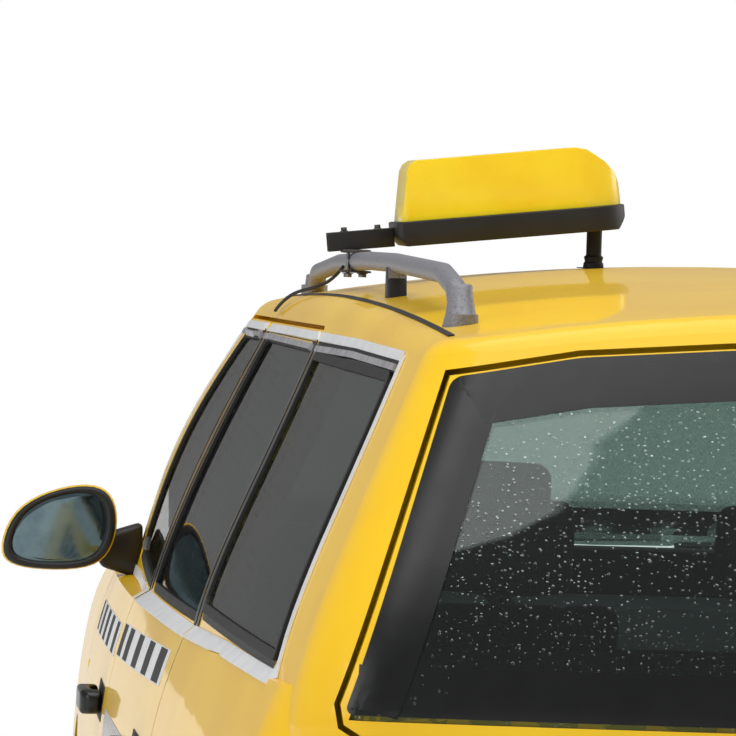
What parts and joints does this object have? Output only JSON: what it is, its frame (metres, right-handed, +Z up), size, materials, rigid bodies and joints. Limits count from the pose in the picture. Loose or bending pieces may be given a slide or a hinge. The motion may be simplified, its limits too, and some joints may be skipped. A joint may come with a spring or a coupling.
{
  "type": "taxi cab, estate car with roof sign",
  "caption": "Yellow estate car used as a taxi, with opening doors, bonnet and tailgate, steered front wheels, roof rails and a blank domed roof sign on a bracket.",
  "frame": {"origin": "on the ground, under the middle of the car's bounding box", "axes": "+X is the car's left, +Y its rear, +Z up"},
  "size_m": [2.0136, 4.6733, 1.6518],
  "materials": {
    "taxi_yellow": "gloss",
    "black_plastic": "matte",
    "dark_glass": "gloss",
    "clear_lens": "gloss",
    "red_lens": "gloss",
    "dark_metal": "satin",
    "cast_metal": "rough",
    "alloy": "satin",
    "tyre_rubber": "matte",
    "seat_cloth": "woven",
    "trim_plastic": "grained",
    "worn_rail": "worn",
    "sign_yellow": "gloss",
    "cable_black": "matte",
    "exhaust_steel": "dull"
  },
  "bodies": {
    "car": {"roof_panel": "taxi_yellow", "front_bumper": "taxi_yellow", "rear_bumper": "taxi_yellow", "front_wing_left": "taxi_yellow", "front_wing_right": "taxi_yellow", "side_frame_left": "taxi_yellow", "side_frame_right": "taxi_yellow", "windscreen": "dark_glass", "quarter_glass_left": "dark_glass", "quarter_glass_right": "dark_glass", "grille": "black_plastic", "scuttle": "black_plastic", "sign_base": "black_plastic", "wipers": "black_plastic", "floor_pan": "dark_metal", "front_structure": "dark_metal", "sign_bracket": "dark_metal", "headlamp_left": "clear_lens", "headlamp_right": "clear_lens", "tail_lamp_left": "red_lens", "tail_lamp_right": "red_lens", "front_axle": "cast_metal", "rear_axle": "cast_metal", "engine_block": "cast_metal", "rear_bench": "seat_cloth", "front_seat_left": "seat_cloth", "front_seat_right": "seat_cloth", "dashboard": "trim_plastic", "roof_rail_left": "worn_rail", "roof_rail_right": "worn_rail", "sign_dome": "sign_yellow", "sign_cable": "cable_black", "exhaust": "exhaust_steel"},
    "front_door_left": {"front_door_left": "taxi_yellow", "front_door_glass_left": "dark_glass", "mirror_left": "taxi_yellow"},
    "rear_door_left": {"rear_door_left": "taxi_yellow", "rear_door_glass_left": "dark_glass"},
    "front_knuckle_left": {"front_knuckle_left": "cast_metal"},
    "front_wheel_left": {"front_tyre_left": "tyre_rubber", "front_rim_left": "alloy"},
    "rear_wheel_left": {"rear_tyre_left": "tyre_rubber", "rear_rim_left": "alloy"},
    "front_door_right": {"front_door_right": "taxi_yellow", "front_door_glass_right": "dark_glass", "mirror_right": "taxi_yellow"},
    "rear_door_right": {"rear_door_right": "taxi_yellow", "rear_door_glass_right": "dark_glass"},
    "front_knuckle_right": {"front_knuckle_right": "cast_metal"},
    "front_wheel_right": {"front_tyre_right": "tyre_rubber", "front_rim_right": "alloy"},
    "rear_wheel_right": {"rear_tyre_right": "tyre_rubber", "rear_rim_right": "alloy"},
    "tailgate": {"tailgate": "taxi_yellow", "tailgate_glass": "dark_glass"},
    "bonnet": {"bonnet": "taxi_yellow"},
    "steering_wheel": {"steering_wheel": "trim_plastic"}
  },
  "joints": [
    {"name": "front_door_left_hinge", "type": "hinge", "parent": "car", "child": "front_door_left", "pos_m": [0.864, -1.011, 0.59], "axis": [0, 0, -1], "range_deg": [0, 65]},
    {"name": "rear_door_left_hinge", "type": "hinge", "parent": "car", "child": "rear_door_left", "pos_m": [0.873, -0.069, 0.59], "axis": [0, 0, -1], "range_deg": [0, 65]},
    {"name": "steer_left", "type": "hinge", "parent": "car", "child": "front_knuckle_left", "pos_m": [0.717, -1.435, 0.316], "axis": [0, 0, 1], "range_deg": [-35, 35]},
    {"name": "front_wheel_left_spin", "type": "hinge", "parent": "front_knuckle_left", "child": "front_wheel_left", "pos_m": [0.757, -1.435, 0.316], "axis": [1, 0, 0], "continuous": true},
    {"name": "rear_wheel_left_spin", "type": "hinge", "parent": "car", "child": "rear_wheel_left", "pos_m": [0.757, 1.268, 0.316], "axis": [1, 0, 0], "continuous": true},
    {"name": "front_door_right_hinge", "type": "hinge", "parent": "car", "child": "front_door_right", "pos_m": [-0.864, -1.011, 0.59], "axis": [0, 0, 1], "range_deg": [0, 65]},
    {"name": "rear_door_right_hinge", "type": "hinge", "parent": "car", "child": "rear_door_right", "pos_m": [-0.873, -0.069, 0.59], "axis": [0, 0, 1], "range_deg": [0, 65]},
    {"name": "steer_right", "type": "hinge", "parent": "car", "child": "front_knuckle_right", "pos_m": [-0.717, -1.435, 0.316], "axis": [0, 0, 1], "range_deg": [-35, 35]},
    {"name": "front_wheel_right_spin", "type": "hinge", "parent": "front_knuckle_right", "child": "front_wheel_right", "pos_m": [-0.757, -1.435, 0.316], "axis": [1, 0, 0], "continuous": true},
    {"name": "rear_wheel_right_spin", "type": "hinge", "parent": "car", "child": "rear_wheel_right", "pos_m": [-0.757, 1.268, 0.316], "axis": [1, 0, 0], "continuous": true},
    {"name": "tailgate_hinge", "type": "hinge", "parent": "car", "child": "tailgate", "pos_m": [0, 2.076, 1.418], "axis": [1, 0, 0], "range_deg": [0, 78]},
    {"name": "bonnet_hinge", "type": "hinge", "parent": "car", "child": "bonnet", "pos_m": [0, -1.16, 0.96], "axis": [-1, 0, 0], "range_deg": [0, 55]},
    {"name": "steering_column", "type": "hinge", "parent": "car", "child": "steering_wheel", "pos_m": [0.37, -0.56, 0.85], "axis": [0, 0.9135, 0.4067], "range_deg": [-525, 525]}
  ],
  "couplings": [
    {"joint": "steer_right", "follows": "steer_left", "ratio": 1},
    {"joint": "steering_column", "follows": "steer_left", "ratio": -15}
  ]
}
